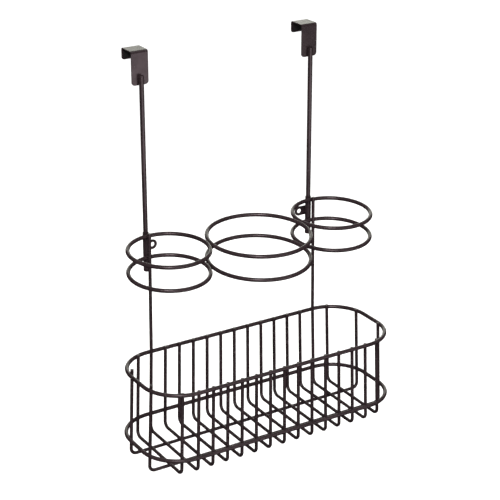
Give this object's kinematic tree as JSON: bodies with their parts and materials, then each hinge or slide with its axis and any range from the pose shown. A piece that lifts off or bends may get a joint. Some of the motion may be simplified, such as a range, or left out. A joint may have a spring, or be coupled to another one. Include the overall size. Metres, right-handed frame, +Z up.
{
  "type": "hair dryer holder",
  "caption": "Wire rack with side-by-side ring pairs for hair tools above a basket, hung from a cabinet door by strap hooks or screwed to a wall.",
  "frame": {"origin": "midway between the two screw holes, on the plane of the wall or the door's front face", "axes": "+X to the right as seen from the front, +Y into the wall or door, +Z up"},
  "size_m": [0.3368, 0.1563, 0.4704],
  "materials": {
    "bronze_wire": "dark bronze powder coat, semi-gloss, on round steel wire",
    "bronze_flat": "dark bronze powder coat, semi-gloss, on flat steel strip",
    "foam_pad": "black closed-cell foam, matt"
  },
  "bodies": {
    "rack": {"top_rim": "bronze_wire", "lower_rim": "bronze_wire", "cross_wire_01": "bronze_wire", "hanger_wire_left": "bronze_wire", "cross_wire_03": "bronze_wire", "cross_wire_04": "bronze_wire", "cross_wire_05": "bronze_wire", "cross_wire_06": "bronze_wire", "cross_wire_07": "bronze_wire", "cross_wire_08": "bronze_wire", "cross_wire_09": "bronze_wire", "cross_wire_10": "bronze_wire", "cross_wire_11": "bronze_wire", "cross_wire_12": "bronze_wire", "cross_wire_13": "bronze_wire", "hanger_wire_right": "bronze_wire", "cross_wire_15": "bronze_wire", "floor_wire_rear": "bronze_wire", "floor_wire_front": "bronze_wire", "ring_left_upper": "bronze_wire", "ring_left_lower": "bronze_wire", "ring_middle_upper": "bronze_wire", "ring_middle_lower": "bronze_wire", "ring_right_upper": "bronze_wire", "ring_right_lower": "bronze_wire", "socket_left": "bronze_wire", "socket_right": "bronze_wire", "wall_tab_left": "bronze_flat", "wall_tab_right": "bronze_flat"},
    "hook_left": {"hook_strap_left": "bronze_flat", "rod_left": "bronze_wire", "front_pad_left": "foam_pad", "rear_pad_left": "foam_pad"},
    "hook_right": {"hook_strap_right": "bronze_flat", "rod_right": "bronze_wire", "front_pad_right": "foam_pad", "rear_pad_right": "foam_pad"}
  },
  "joints": [
    {"name": "left_rod_turn", "type": "hinge", "parent": "rack", "child": "hook_left", "pos_m": [-0.112, -0.0046, 0], "axis": [0, 0, 1], "range_deg": [-180, 180]},
    {"name": "right_rod_turn", "type": "hinge", "parent": "rack", "child": "hook_right", "pos_m": [0.112, -0.0046, 0], "axis": [0, 0, 1], "range_deg": [-180, 180]}
  ]
}
